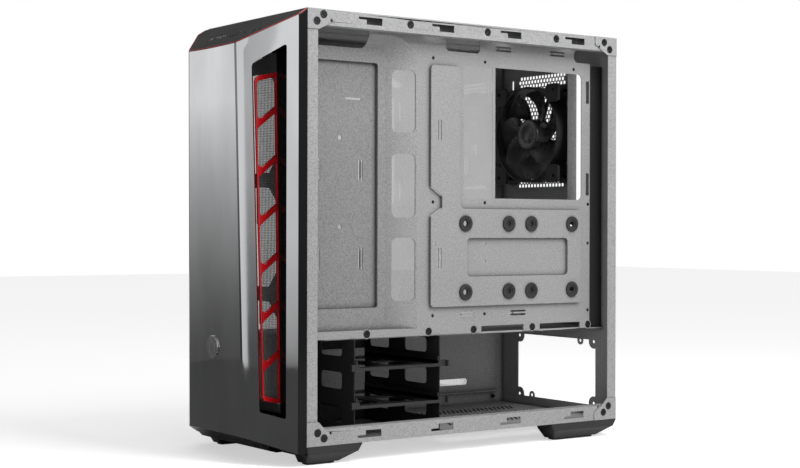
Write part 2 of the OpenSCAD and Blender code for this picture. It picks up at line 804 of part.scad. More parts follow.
// Plastic sled for one drive, with its two latch arms at the mouth
module drive_tray(z) {
    y0 = cage_y0 + steel_t + tray_gap;
    y1 = cage_y1 - steel_t - tray_gap;
    x0 = cage_x0 + steel_t + 2;
    x1 = cage_x1 + 1;
    mid = (y0 + y1) / 2;
    plate_z(z, tray_wall) difference() {
        rrect(x0, x1, y0, y1, 4);
        for (s = [-1, 1]) {
            rrect(x0 + 18, x0 + 60, mid + s * 24 - 17, mid + s * 24 + 17, 8);
            rrect(x0 + 74, x0 + 122, mid + s * 24 - 17, mid + s * 24 + 17, 8);
        }
        for (x = [x0 + 67 - drive_hole_x / 2, x0 + 67 + drive_hole_x / 2], s = [-1, 1])
            translate([x, mid + s * drive_hole_y / 2]) circle(1.8);
    }
    for (y = [y0, y1 - tray_wall])
        box(x0, x1, y, y + tray_wall, z + tray_wall - eps, z + tray_side_h);
    box(x1 - eps, x1 + 3, y0, y1, z, z + 3.4);
    for (y = [y0 - arm_out, y1 - arm_in])
        box(x1 - eps, x1 + 3, y, y + arm_out + arm_in, z, z + arm_h);
    for (y = [y0 - arm_out, y1 + arm_out - 2])
        box(x1 - eps, x1 + 6, y, y + 2, z, z + arm_h);
}

module drive_tray_upper() color("black") drive_tray(tray_z[0]);

module drive_tray_lower() color("black") drive_tray(tray_z[1]);

// ------------------------------------------------------------ rear pieces

tab_l = 10;
tab_half = 5.5;
shield_x = slot_x0 - 22;
shield_hole_r = 1.8;

module slot_covers() color("dimgray") {
    for (i = [0 : slot_count - 1]) {
        z = slot_z0 + i * slot_pitch;
        plate_y(in_b - steel_t, steel_t) difference() {
            rect(slot_x0, slot_x1 + 4, z - 9.2, z + 9.2);
            for (k = [0 : 9])
                rrect(slot_x0 + 8 + k * 10, slot_x0 + 15 + k * 10, z - 4, z + 4, 2);
        }
        difference() {
            box(slot_x0, slot_x0 + steel_t, in_b - steel_t, y_b + tab_l, z - tab_half, z + tab_half);
            rod_x(slot_x0 - 1, y_b + 5.5, z, screw_r + 0.15, 4);
        }
    }
}

module slot_ledge() {
    // Flange along the slots that the covers' tabs are screwed to
    plate_x(slot_x0 - steel_t, steel_t) difference() {
        rect(in_b + eps, y_b + tab_l + 0.5, slot_z0 - 10, slot_z0 + (slot_count - 1) * slot_pitch + 10);
        for (i = [0 : slot_count - 1])
            translate([y_b + 5.5, slot_z0 + i * slot_pitch]) circle(screw_r + 0.15);
    }
}

module slot_cover_screws() color("silver") {
    for (i = [0 : slot_count - 1])
        screw_x(slot_x0 + steel_t, y_b + 5.5, slot_z0 + i * slot_pitch);
}

module slot_shield() color("dimgray") {
    z0 = slot_z0 - 14;
    z1 = slot_z0 + (slot_count - 1) * slot_pitch + 12;
    difference() {
        plate_z(z0, z1 - z0) {
            rect(shield_x, shield_x + 13, y_b, y_b + steel_t);
            rect(shield_x + 12, shield_x + 13, y_b, y_b + rear_proud);
            rect(shield_x + 12, slot_x0 + 14, y_b + rear_proud - steel_t, y_b + rear_proud);
            rect(slot_x0 + 13, slot_x0 + 14, y_b + rear_proud - 4, y_b + rear_proud);
        }
        for (z = [slot_z0 - 8, slot_z0 + 126])
            rod_y(shield_x + 6, y_b - 1, z, shield_hole_r, 4);
    }
}

// Knurled thumbscrew along Y, head outwards from y
module thumbscrew_y(x, y, z) {
    rod_y(x, y, z, 4.5, 5);
    rod_y(x, y + 5 - eps, z, 3.6, 2);
    rod_y(x, y - 6, z, shield_hole_r - 0.15, 6 + eps);
}

module shield_thumbscrews() color("silver") {
    for (z = [slot_z0 - 8, slot_z0 + 126]) thumbscrew_y(shield_x + 6, y_b + steel_t, z);
}

module chassis_screws() color("silver") {
    // Pan-head screws of the corners, the top rail and the tray's flange
    face = x_r - screw_head_h - 0.1;
    for (p = concat(corner_screws_front_top, corner_screws_front_low, corner_screws_rear_top,
                    corner_screws_rear_low, rail_screws))
        screw_x(face, p[0], p[1]);
    for (p = flange_screws) screw_x(tray_x - screw_head_h - 0.1, p[0], p[1]);
}

fan_y0 = in_b - fan_d;
fan_flange = 4;
ear = 22;
strut_t = 3;
bearing_r = 5;
shaft_r = 1.5;
shaft_fit = 0.05;
hub_r = 19.5;

module fan_frame() color("black") {
    half = fan_s / 2;
    pos = [rear_fan_x, 0, rear_fan_z];
    difference() {
        union() {
            translate(pos) rod_y(0, fan_y0, 0, half - 0.5, fan_d);
            // Ears at the four corners of both ends
            for (y = [fan_y0, in_b - fan_flange], sx = [-1, 1], sz = [-1, 1])
                translate(pos) plate_y(y, fan_flange)
                    translate([sx * (half - ear / 2), sz * (half - ear / 2)])
                        rrect(-ear / 2, ear / 2, -ear / 2, ear / 2, 4);
        }
        translate(pos) rod_y(0, fan_y0 - 1, 0, blade_d / 2 + 1, fan_d + 2);
        for (sx = [-1, 1], sz = [-1, 1])
            translate(pos) rod_y(sx * fan_hole_c / 2, fan_y0 - 1, sz * fan_hole_c / 2, 2.35, fan_d + 2);
    }
    // Motor mount on four struts at the outlet
    difference() {
        union() {
            translate(pos) rod_y(0, in_b - strut_t - 0.4, 0, hub_r + 1, strut_t + 0.4);
            translate(pos) rod_y(0, in_b - 14, 0, bearing_r, 14);
            for (a = [20, 110, 200, 290])
                translate([rear_fan_x, in_b, rear_fan_z]) rotate([0, a, 0])
                    translate([hub_r - 1, -strut_t, -2]) cube([blade_d / 2 + 3 - hub_r, strut_t - 0.4, 4]);
        }
        translate(pos) rod_y(0, in_b - 15, 0, shaft_r + shaft_fit, 13);
    }
}

blade_count = 7;
blade_l = 17;
rotor_y1 = in_b - strut_t - 1;

// Sickle-shaped outline of one blade, seen along the shaft
module blade_outline() {
    r0 = hub_r - 1.5;
    r1 = blade_d / 2 - 1;
    n = 6;
    lead = [for (i = [0 : n]) let (r = r0 + (r1 - r0) * i / n, a = 16 * i / n) r * [cos(a), sin(a)]];
    trail = [for (i = [n : -1 : 0]) let (r = r0 + (r1 - r0) * i / n, a = 16 * i / n - 90 / r)
             r * [cos(a), sin(a)]];
    polygon(concat(lead, trail));
}

module fan_rotor() color("black") {
    translate([rear_fan_x, rotor_y1, rear_fan_z]) rotate([90, 0, 0]) {
        difference() {
            cylinder(r = hub_r, h = blade_l + 1.5);
            translate([0, 0, -1]) cylinder(r = hub_r - 2, h = blade_l + 0.5);
        }
        for (k = [0 : blade_count - 1])
            rotate(k * 360 / blade_count)
                linear_extrude(blade_l, twist = -34, slices = 6) blade_outline();
        translate([0, 0, -1.5]) cylinder(r = shaft_r, h = blade_l + 2);
    }
}

module fan_screws() color("silver") {
    for (sx = [-1, 1], sz = [-1, 1])
        translate([rear_fan_x + sx * fan_hole_c / 2, 0, rear_fan_z + sz * fan_hole_c / 2])
            difference() {
                union() {
                    rod_y(0, y_b, 0, 4, 2);
                    rod_y(0, y_b - 11, 0, 2.2, 11 + eps);
                }
                for (a = [45, 135])
                    translate([0, y_b + 2, 0]) rotate([0, a, 0]) cube([4.6, 1.8, 0.9], center = true);
            }
}

// ------------------------------------------------------ feet and filters

foot_w = 30;
pad_h = 2;

// One moulded foot between y0 and y1, tapering to its sole
module foot(y0, y1, s0, s1) {
    hull() {
        plate_z(z_b - 1, 1) rrect(hw - foot_w, hw - 0.5, y0, y1, 1);
        plate_z(z_b - 8, 1) rrect(hw - foot_w, hw - 0.5, y0 + s0 * 0.4, y1 - s1 * 0.2, 1);
        plate_z(pad_h, 1) rrect(hw - foot_w + 4, hw - 9, y0 + s0, y1 - s1, 2);
    }
}

front_foot = [y_f + 0.5, y_f + 69, 4, 24];
rear_foot = [y_b - 99, y_b + 1, 10, 24];

module feet_pair(f) {
    for (m = [0, 1]) mirror([m, 0, 0]) foot(f[0], f[1], f[2], f[3]);
}

module front_feet() color("black") feet_pair(front_foot);

module rear_feet() color("black") feet_pair(rear_foot);

module foot_pads() color("dimgray") {
    for (f = [front_foot, rear_foot], m = [0, 1])
        mirror([m, 0, 0])
            plate_z(0, pad_h) rrect(hw - foot_w + 6, hw - 11, f[0] + f[2] + 3, f[1] - f[3] - 3, 4);
}

filter_x0 = -76;
filter_x1 = 70;
filter_y0 = psu_vent_y0 - 14;
filter_y1 = y_b - 3;
guide_h = 5;

module filter_guides() {
    // Angle strips under the floor that the bottom filter slides in
    for (g = [[filter_x0 - 0.5, -1], [filter_x1 + 0.5, 1]]) {
        box(min(g[0], g[0] + g[1]), max(g[0], g[0] + g[1]), filter_y0, y_b - 20, z_b - guide_h, z_b + eps);
        box(min(g[0] + g[1], g[0] - 3 * g[1]), max(g[0] + g[1], g[0] - 3 * g[1]), filter_y0, y_b - 20,
            z_b - guide_h - 1, z_b - guide_h + eps);
    }
}

module bottom_filter_frame() color("black") {
    z = z_b - guide_h + 0.6;
    plate_z(z, 3) difference() {
        rrect(filter_x0, filter_x1, filter_y0, filter_y1, 4);
        rrect(filter_x0 + 9, filter_x1 - 9, filter_y0 + 9, filter_y1 - 12, 3);
    }
    box(-20, 14, filter_y1 - 2, filter_y1 + 2, z - 2.5, z + 3);
}

module bottom_filter_mesh() color("dimgray") {
    plate_z(z_b - guide_h + 1.6, 0.5)
        rrect(filter_x0 + 9, filter_x1 - 9, filter_y0 + 9, filter_y1 - 12, 3);
}

// ----------------------------------------------------------------- window

window_in = 3;
bore_d = 1.5;

module window_panel() color([0.3, 0.3, 0.32, 0.5]) {
    difference() {
        plate_x(x_win_out, window_t) rrect(y_f + window_in, y_b - window_in, z_b + 2, z_t - 2, 4);
        for (p = thumb_holes) {
            rod_x(x_win_out - 1, p[0], p[1], thumb_shank_r + touch, window_t + 2);
            rod_x(x_win_out - 1, p[0], p[1], thumb_d / 2 + touch, 1 + bore_d);
        }
    }
}

module window_thumbscrews() color("black") {
    for (p = thumb_holes) difference() {
        union() {
            rod_x(-hw, p[0], p[1], thumb_d / 2, thumb_proud + bore_d - 0.8);
            rod_x(-hw + 1, p[0], p[1], thumb_shank_r, thumb_proud + window_t + 4);
        }
        rod_x(-hw - 1, p[0], p[1], 2.6, 2);
    }
}

module window_washers() color("dimgray") {
    for (p = thumb_holes) difference() {
        rod_x(x_win_out + bore_d - 0.8, p[0], p[1], thumb_d / 2 - 1, 0.8);
        rod_x(x_win_out, p[0], p[1], thumb_shank_r + 0.2, 3);
    }
}

// ------------------------------------------------------------------ bezel

slope_deg = atan(slope_drop / (bezel_d - crown));
y_s = y_f - strip_d;
z_edge = z_t - slope_drop;
z_foot = z_b + 8;
chin_deg = 21.6;
chin_z = z_b - 6;
bend_r_out = 11;
trim_y = y_s + 0.1;

function face_y(z) = y_f - bezel_d + crown + lean * (z_edge - z) / (z_edge - z_foot);

// Outline of the bezel at height z, e inside its skin, from the right side round to the left
function bezel_outline(z, e) =
    let (x = hw - e,
         ys = y_s + e * (1 / cos(facet_deg) - tan(facet_deg)),
         fy = face_y(z) + e,
         bx = x - (ys - fy) / tan(facet_deg),
         nose = [for (i = [4 : -1 : -4]) [bx * i / 4, fy - crown * (1 - pow(i / 4, 2))]])
    round_poly(concat([[x, y_f + 60], [x, ys]], nose, [[-x, ys], [-x, y_f + 60]]),
               concat([0, 0, bend_r_out], [for (i = [1 : 7]) 0], [bend_r_out, 0, 0]));

// Solid inside the bezel's skin, before its top and bottom are cut
module bezel_prism(e) {
    low = bezel_outline(z_b - 10, e);
    high = bezel_outline(z_t + 3, e);
    n = len(low);
    polyhedron(
        points = concat([for (q = low) [q[0], q[1], z_b - 10]], [for (q = high) [q[0], q[1], z_t + 3]]),
        faces = concat([[for (i = [n - 1 : -1 : 0]) i]], [[for (i = [0 : n - 1]) n + i]],
                       [for (i = [0 : n - 1]) [i, (i + 1) % n, n + i]],
                       [for (i = [0 : n - 1]) [(i + 1) % n, n + (i + 1) % n, n + i]]));
}

module on_slope() {
    translate([0, y_f, z_t]) rotate([slope_deg, 0, 0]) children();
}

// Everything more than d below the sloping top face, turned round: what lies above it
module above_slope(d) {
    on_slope() translate([-300, -300, -d]) cube([600, 600, 300]);
}

module below_chin(d) {
    translate([0, y_s, chin_z]) rotate([-chin_deg, 0, 0])
        translate([-300, -300, d - 300]) cube([600, 600, 300]);
}

// Local frame on the right facet: x runs forward, y up and z inwards
module on_facet() {
    translate([hw, y_s, 0]) rotate([90, 0, 180 + facet_deg]) children();
}

module both_sides() {
    children();
    mirror([1, 0, 0]) children();
}

win_u0 = 13;
win_u1 = 52;
win_top = z_t - 37;
win_low = z_b + 29;
win_drop = 19;
win_rise = 6;
win_lean = 9.5;
pin_t = 0.9;
pin_w = 0.9;
gap_t = 0.2;

module facet_window() {
    p = [[win_u0, win_low], [win_u1 - win_lean, win_low + win_rise],
         [win_u1, win_top - win_drop], [win_u0, win_top]];
    polygon(round_poly(p, [2, 3, 7, 2]));
}

module mirror_panel() color([0.25, 0.26, 0.28]) {
    difference() {
        bezel_prism(0);
        bezel_prism(mirror_t);
        box(-300, 300, y_s, 300, -10, z_t + 20);
        above_slope(pin_t + gap_t);
        below_chin(0);
        both_sides() on_facet() translate([0, 0, -10]) linear_extrude(20) facet_window();
    }
}

// Outline of the sloping top face, e inside its edge
module slope_outline(e) {
    intersection() {
        polygon([for (q = bezel_outline(z_edge, e)) [q[0], (q[1] - y_f) / cos(slope_deg)]]);
        rect(-hw, hw, -2 * bezel_d, -e);
    }
}

module pinstripe() color("indianred") {
    on_slope() translate([0, 0, -pin_t]) linear_extrude(pin_t) difference() {
        slope_outline(0);
        slope_outline(pin_w);
        translate([-hw, -1 - pin_w]) square([2 * hw, 4]);
    }
}

// Places on the sloping top: across, and up the slope from the front
io_v = -36.7;
usb_xs = [-32.5, -13.5];
power_x = 14.5;
reset_x = 37;
jack_xs = [52, 63];
led_x = 73;
panel_t = 2.5;

module power_outline(e) {
    p = [[-11 - e, -5 - e], [4 + e, -5 - e], [11 + e, 5 + e], [-4 - e, 5 + e]];
    polygon(round_poly(p, [2.5, 2.5, 2.5, 2.5]));
}

module usb_outline(e) {
    rect(-6.6 - e, 6.6 + e, -2.9 - e, 2.9 + e);
}

// Holes of the sockets and buttons in the sloping top
module io_holes() {
    for (x = usb_xs) translate([x, io_v]) usb_outline(0.15);
    translate([power_x, io_v]) power_outline(button_gap);
    translate([reset_x, io_v]) circle(2.6 + button_gap);
    for (x = jack_xs) translate([x, io_v]) circle(3.2);
    translate([led_x, io_v]) circle(1.15);
}

module io_panel() color("dimgray") {
    // Wide top skin, and a narrower underside that fits between the mirror panel's walls
    skin = pin_t + gap_t;
    difference() {
        on_slope() {
            translate([0, 0, -skin]) linear_extrude(skin - gap_t) slope_outline(pin_w + 0.1);
            translate([0, 0, -panel_t]) linear_extrude(panel_t - skin + eps) slope_outline(mirror_t + 0.2);
        }
        on_slope() translate([0, 0, -panel_t - 1]) linear_extrude(panel_t + 2) io_holes();
        box(-hw, hw, y_f - 0.1, y_f + 20, z_t - 40, z_t + 5);
    }
}

board_w = -8;
switch_h = 1.5;

module io_board() color("darkgreen") {
    intersection() {
        on_slope() translate([0, 0, board_w - 1.6]) linear_extrude(1.6)
            rrect(-44, 77, io_v - 9, io_v + 9, 2);
        bezel_prism(mirror_t + 0.5);
    }
    // Push switches under the two buttons
    on_slope() for (x = [power_x, reset_x])
        translate([x, io_v, board_w - eps]) linear_extrude(switch_h) square([6, 6], center = true);
}

module usb_shells() color("silver") {
    on_slope() for (x = usb_xs) translate([x, io_v, board_w]) linear_extrude(-board_w - 0.5) difference() {
        usb_outline(0);
        usb_outline(-0.4);
    }
}

module usb_tongues() color("royalblue") {
    on_slope() for (x = usb_xs) translate([x - 5.4, io_v + 0.1, board_w]) cube([10.8, 1.9, -board_w - 1.6]);
}

module audio_jacks() color("black") {
    on_slope() for (x = jack_xs) translate([x, io_v, board_w]) difference() {
        cylinder(r = 3.1, h = -board_w - 0.4);
        translate([0, 0, 1]) cylinder(r = 1.8, h = 12);
    }
}

module led_pipe() color("whitesmoke") {
    on_slope() translate([led_x, io_v, board_w]) cylinder(r = 1.1, h = -board_w - 0.3);
}

// Buttons stand in the top plate and reach down to their switches
module power_button() color("black") {
    on_slope() translate([power_x, io_v, -5]) linear_extrude(5.6) power_outline(0);
}

module reset_button() color("black") {
    on_slope() translate([reset_x, io_v, -4.7]) cylinder(r = 2.6, h = 5.2);
}

// Trim frame of the side intake, in a plane that leans with the front bend
trim_x_top = 66;
trim_z_top = z_t - 63;
trim_z_low = z_b + 42;
trim_len_top = 26.5;
trim_len_low = 20.8;
trim_spread = 8.5;
trim_lean = atan(trim_spread / (trim_z_top - trim_z_low));
bar_w = 2;
rib_h = 7.5;
rib_slope = 0.78;

// Where the trim's plane stands at height z
function trim_x(z) = trim_x_top + trim_spread * (trim_z_top - z) / (trim_z_top - trim_z_low);

// Outline in distance forward of the recess wall, and height
function trim_front(z) =
    trim_len_low + (trim_len_top - trim_len_low) * (z - trim_z_low) / (trim_z_top - trim_z_low);

module trim_outline() {
    p = [[0, trim_z_low], [trim_front(trim_z_low), trim_z_low + 4],
         [trim_front(trim_z_top), trim_z_top - 6], [0, trim_z_top]];
    polygon(round_poly(p, [0, 6, 7, 0]));
}

rib_first = trim_z_top - 35;
rib_count = floor((rib_first - trim_z_low - 20) / rib_pitch) + 1;

// Opening between two ribs, whose rear edge runs from z0 up to z1
module trim_cell(z0, z1, last, first) {
    f0 = trim_front(z0) - bar_w;
    f1 = trim_front(z1) - bar_w;
    low = last ? z0 + 4 : z0 - rib_slope * (f0 - bar_w);
    top = first ? z1 - 6 : z1 - rib_slope * (f1 - bar_w);
    p = [[bar_w, z0], [f0, low], [f1, top], [bar_w, z1]];
    polygon(round_poly(p, [1, 3.2, 6, 1]));
}

module trim_profile() {
    difference() {
        trim_outline();
        for (i = [0 : rib_count])
            trim_cell(i == rib_count ? trim_z_low + 5 : rib_first - i * rib_pitch,
                      i == 0 ? trim_z_top - 5 : rib_first - (i - 1) * rib_pitch - rib_h,
                      i == rib_count, i == 0);
    }
}

// Local frame of the trim: x forward of the wall, y up, z towards the middle
module on_trim(x) {
    translate([trim_x_top, trim_y, trim_z_top]) rotate([0, -trim_lean, 0])
        translate([-x, 0, -trim_z_top]) rotate([90, 0, -90]) children();
}

module trim_shape() {
    on_trim(0) linear_extrude(trim_t) trim_profile();
}

module trim_right() color("firebrick") trim_shape();

module trim_left() color("firebrick") mirror([1, 0, 0]) trim_shape();

mesh_t = 0.8;

module intake_mesh_shape() {
    on_trim(trim_t) linear_extrude(mesh_t) trim_outline();
}

module intake_mesh_right() color("dimgray") intake_mesh_shape();

module intake_mesh_left() color("dimgray") mirror([1, 0, 0]) intake_mesh_shape();

clip_xs = [-90, 90];
clip_zs = [z_b + 40, z_b + case_h / 2, z_t - 40];
clip_r = 3;
clip_hole_r = clip_r + touch;
frame_t = 2.5;
cap_low = z_b + 26;
cap_top = z_t - 34;

// Shelf that closes a side recess above or below
module recess_cap(z) {
    intersection() {
        bezel_prism(mirror_t + 0.2);
        both_sides() box(58, hw - frame_t, -300, y_f, z - 1, z + 1);
    }
}

module bezel_frame() color("black") {
    difference() {
        union() {
            // Rear ring against the chassis
            plate_y(y_f - frame_t, frame_t) difference() {
                rect(-hw, hw, chin_z, z_t - 5);
                rrect(-84, 84, z_b + 30, z_t - 40, 6);
            }
            // Straight side strips
            both_sides() plate_x(hw - frame_t, frame_t)
                polygon([[y_s + 0.1, chin_z], [y_f, chin_z], [y_f, z_t - 2.2],
                         [y_s + 0.1, z_t - 2.2 - strip_d * tan(slope_deg)]]);
            // Walls at the back of the side recesses
            both_sides() plate_y(trim_y, 2) polygon([
                [trim_x(cap_low) - 1, cap_low - 1],
                [hw - frame_t + eps, cap_low - 1], [hw - frame_t + eps, cap_top + 1],
                [trim_x(cap_top) - 1, cap_top + 1]]);
            recess_cap(cap_low);
            recess_cap(cap_top);
            // Floor of the bezel, and the deck under the sloping top
            intersection() {
                bezel_prism(mirror_t + 0.2);
                difference() {
                    box(-hw, hw, -300, y_f, 0, 200);
                    below_chin(0);
                    below_chin_upper();
                }
            }
            intersection() {
                bezel_prism(mirror_t + 0.2);
                deck();
                box(-hw, hw, -300, y_f, 0, z_t);
            }
            // Pegs that snap into the front plate
            for (x = clip_xs, z = clip_zs) {
                rod_y(x, y_f - 1, z, clip_r, 8);
            }
        }
        above_slope(panel_t);
    }
    chin();
}

module below_chin_upper() {
    translate([0, y_s, chin_z]) rotate([-chin_deg, 0, 0])
        translate([-300, -300, frame_t]) cube([600, 600, 300]);
}

module deck() {
    on_slope() translate([0, 0, -panel_t - 2]) linear_extrude(2) difference() {
        rect(-hw, hw, -80, -2);
        rrect(-50, 84, io_v - 12, io_v + 12, 3);
    }
}

chin_half = 64;

module chin() {
    // Low lip under the bezel's floor
    plate_x(-chin_half, 2 * chin_half)
        polygon([[y_f - 36, chin_z + 10.1], [y_f - 28, chin_z + 2], [y_f - 10, chin_z - 3.5],
                 [y_f - 0.5, chin_z - 3.5], [y_f - 0.5, chin_z + 2], [y_s, chin_z + 0.6]]);
}

badge_t = 1.4;

module badge() color("silver") {
    z = z_b + 98;
    translate([0, face_y(z) - crown, z]) rotate([90 + atan(lean / (z_edge - z_foot)), 0, 0])
        cylinder(r = badge_d / 2, h = badge_t);
}

base_plate();
top_plate();
front_plate();
rear_plate();
motherboard_tray();
right_top_rail();
right_bottom_rail();
left_top_rail();
left_bottom_rail();
corner_plates();
tray_return();
psu_shroud();
drive_cage();
ssd_grommets();
standoffs();
slot_covers();
slot_cover_screws();
slot_shield();
shield_thumbscrews();
chassis_screws();
fan_frame();
fan_rotor();
fan_screws();
front_feet();
rear_feet();
foot_pads();
drive_tray_upper();
drive_tray_lower();
bottom_filter_frame();
bottom_filter_mesh();
top_filter_frame();
top_filter_mesh();
window_panel();
window_thumbscrews();
window_washers();
bezel_frame();
mirror_panel();
io_panel();
pinstripe();
badge();
trim_right();
trim_left();
intake_mesh_right();
intake_mesh_left();
io_board();
usb_shells();
usb_tongues();
audio_jacks();
led_pipe();
power_button();
reset_button();
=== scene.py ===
"""Looks for the desktop computer tower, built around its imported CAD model.

Metres, +Z up. The front bezel faces -Y, the open side faces +X and the window is on -X.
"""
import math

import bmesh
import bpy
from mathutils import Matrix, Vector


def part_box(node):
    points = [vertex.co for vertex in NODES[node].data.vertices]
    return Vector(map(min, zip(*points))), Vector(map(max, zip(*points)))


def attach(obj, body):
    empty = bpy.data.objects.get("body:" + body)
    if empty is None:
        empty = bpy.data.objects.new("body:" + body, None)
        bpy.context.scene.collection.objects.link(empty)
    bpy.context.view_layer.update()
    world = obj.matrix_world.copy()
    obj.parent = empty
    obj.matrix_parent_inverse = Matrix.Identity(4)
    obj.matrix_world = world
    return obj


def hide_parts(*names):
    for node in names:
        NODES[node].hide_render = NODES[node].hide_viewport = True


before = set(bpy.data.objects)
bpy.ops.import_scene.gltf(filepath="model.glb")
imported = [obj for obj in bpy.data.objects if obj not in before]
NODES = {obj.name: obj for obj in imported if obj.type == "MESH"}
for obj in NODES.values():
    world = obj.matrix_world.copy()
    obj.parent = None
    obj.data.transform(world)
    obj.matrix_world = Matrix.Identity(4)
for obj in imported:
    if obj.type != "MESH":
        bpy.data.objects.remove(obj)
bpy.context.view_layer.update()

MM = 0.001
SCENE = bpy.context.scene


# --------------------------------------------------------------- node helpers

def map_range(tree, value, low, high, source):
    """Map a value from the source range onto low..high."""
    node = tree.nodes.new("ShaderNodeMapRange")
    node.inputs["From Min"].default_value, node.inputs["From Max"].default_value = source
    node.inputs["To Min"].default_value = low
    node.inputs["To Max"].default_value = high
    tree.links.new(value, node.inputs["Value"])
    return node.outputs["Result"]


def object_place(tree, axis):
    """Place along X, Y or Z in the object's own metres."""
    coords = tree.nodes.new("ShaderNodeTexCoord")
    split = tree.nodes.new("ShaderNodeSeparateXYZ")
    tree.links.new(coords.outputs["Object"], split.inputs[0])
    return split.outputs[axis]


# ------------------------------------------------------------------ materials

class Surface:
    """A Principled material with short calls for its procedural detail."""

    def __init__(self, name, colour, roughness, metallic=0.0, **constants):
        self.mat = bpy.data.materials.new(name)
        self.mat.use_nodes = True
        self.tree = self.mat.node_tree
        self.bsdf = self.tree.nodes["Principled BSDF"]
        self.coords = self.tree.nodes.new("ShaderNodeTexCoord").outputs["Object"]
        self.constant("Base Color", (*colour, 1))
        self.constant("Roughness", roughness)
        self.constant("Metallic", metallic)
        for socket, value in constants.items():
            self.constant(socket.replace("_", " "), value)

    def constant(self, socket, value):
        self.bsdf.inputs[socket].default_value = value

    def link(self, output, target):
        self.tree.links.new(output, target)

    def noise(self, scale, detail=2.0, stretch=(1, 1, 1)):
        """Noise from about 0.3 to 0.7, with scale features per metre."""
        mapping = self.tree.nodes.new("ShaderNodeMapping")
        mapping.inputs["Scale"].default_value = stretch
        self.link(self.coords, mapping.inputs["Vector"])
        node = self.tree.nodes.new("ShaderNodeTexNoise")
        node.inputs["Scale"].default_value = scale
        node.inputs["Detail"].default_value = detail
        self.link(mapping.outputs["Vector"], node.inputs["Vector"])
        return node.outputs["Fac"]

    def cells(self, scale):
        node = self.tree.nodes.new("ShaderNodeTexVoronoi")
        node.inputs["Scale"].default_value = scale
        self.link(self.coords, node.inputs["Vector"])
        return node.outputs["Distance"]

    def spread(self, value, low, high, source=(0.32, 0.68)):
        """Map a texture's own range onto low..high."""
        return map_range(self.tree, value, low, high, source)

    def multiply(self, a, b):
        node = self.tree.nodes.new("ShaderNodeMath")
        node.operation = "MULTIPLY"
        self.link(a, node.inputs[0])
        self.link(b, node.inputs[1])
        return node.outputs[0]

    def colours(self, factor, dark, light):
        """Base colour that runs from dark to light with the factor."""
        node = self.tree.nodes.new("ShaderNodeMix")
        node.data_type = "RGBA"
        node.inputs["A"].default_value = (*dark, 1)
        node.inputs["B"].default_value = (*light, 1)
        self.link(factor, node.inputs["Factor"])
        self.link(node.outputs["Result"], self.bsdf.inputs["Base Color"])
        return self

    def roughen(self, factor, low, high):
        self.link(self.spread(factor, low, high), self.bsdf.inputs["Roughness"])
        return self

    def creases(self, reach, darkest):
        """Painted shade: a factor that falls towards darkest in corners and narrow gaps."""
        node = self.tree.nodes.new("ShaderNodeAmbientOcclusion")
        node.samples = 8
        node.inputs["Distance"].default_value = reach
        return self.spread(node.outputs["AO"], darkest, 1.0, (0.35, 0.95))

    def bump(self, height, depth, strength=1.0):
        """Relief of the given depth in metres."""
        node = self.tree.nodes.new("ShaderNodeBump")
        node.inputs["Distance"].default_value = depth
        node.inputs["Strength"].default_value = strength
        self.link(height, node.inputs["Height"])
        self.link(node.outputs["Normal"], self.bsdf.inputs["Normal"])
        return self


def shade(colour, factor):
    return tuple(c * factor for c in colour)


def powder_coat(name, colour, roughness, recess_shade=None):
    """Painted steel with a fine sandy grain and faint large blotches, with painted shade in corners and
    narrow gaps.

    The recess shade gives the X where a painted shade starts to darken the coat, the X where it is darkest,
    and that shade.
    """
    s = Surface(name, colour, roughness, 0.1, Specular_IOR_Level=0.25)
    fine = s.noise(850, 3)
    grain_and_shade = s.multiply(s.spread(fine, 0.6, 1.14), s.spread(s.noise(9, 3), 0.94, 1.05))
    # Painted shade darkens the coat in corners and narrow gaps.
    grain_and_shade = s.multiply(grain_and_shade, s.creases(7 * MM, 0.25))
    # Painted shade that deepens along X into the recess.
    if recess_shade:
        start, end, darkest = recess_shade
        grain_and_shade = s.multiply(grain_and_shade, s.spread(object_place(s.tree, "X"), darkest, 1.0, (end, start)))
    s.colours(grain_and_shade, shade(colour, 0.1), colour)
    s.roughen(s.noise(900, 3), roughness - 0.07, roughness + 0.09)
    return s.bump(fine, 0.06 * MM, 0.6).mat


def moulded(name, colour, roughness, grain=0.5):
    """Plastic with a spark-eroded texture."""
    s = Surface(name, colour, roughness)
    fine = s.noise(3200, 3)
    s.colours(s.spread(s.noise(14, 4), 0.1, 0.9), shade(colour, 0.8), shade(colour, 1.3))
    s.roughen(s.noise(500, 2), roughness - 0.06, roughness + 0.08)
    return s.bump(fine, 0.05 * MM, grain).mat


def gloss(name, colour, roughness, metallic=0.0, coat=0.6, specular=0.5):
    """Polished plastic: a slow ripple and faint smears, with a clear coat unless coat is 0."""
    s = Surface(name, colour, roughness, metallic, Coat_Weight=coat, Coat_Roughness=0.04,
                Specular_IOR_Level=specular)
    smear = s.noise(22, 5, (1, 1, 0.35))
    s.colours(s.spread(smear, 0.0, 1.0), shade(colour, 0.9), shade(colour, 1.08))
    s.roughen(smear, max(0.02, roughness - 0.02), roughness + 0.035)
    return s.bump(s.noise(26, 2), 0.05 * MM, 0.12).mat


def plated(name, colour, roughness):
    """Machine-made metal with fine scratches."""
    s = Surface(name, colour, roughness, 1.0)
    lines = s.noise(900, 3, (1, 1, 0.08))
    s.colours(s.spread(lines, 0.0, 1.0), shade(colour, 0.7), shade(colour, 1.1))
    s.roughen(lines, roughness - 0.08, roughness + 0.12)
    return s.bump(lines, 0.01 * MM, 0.4).mat


def rubber(name, colour):
    s = Surface(name, colour, 0.75)
    s.colours(s.spread(s.noise(60, 4), 0.0, 1.0), shade(colour, 0.75), shade(colour, 1.3))
    s.roughen(s.noise(400, 3), 0.62, 0.88)
    return s.bump(s.noise(1800, 3), 0.06 * MM, 0.5).mat


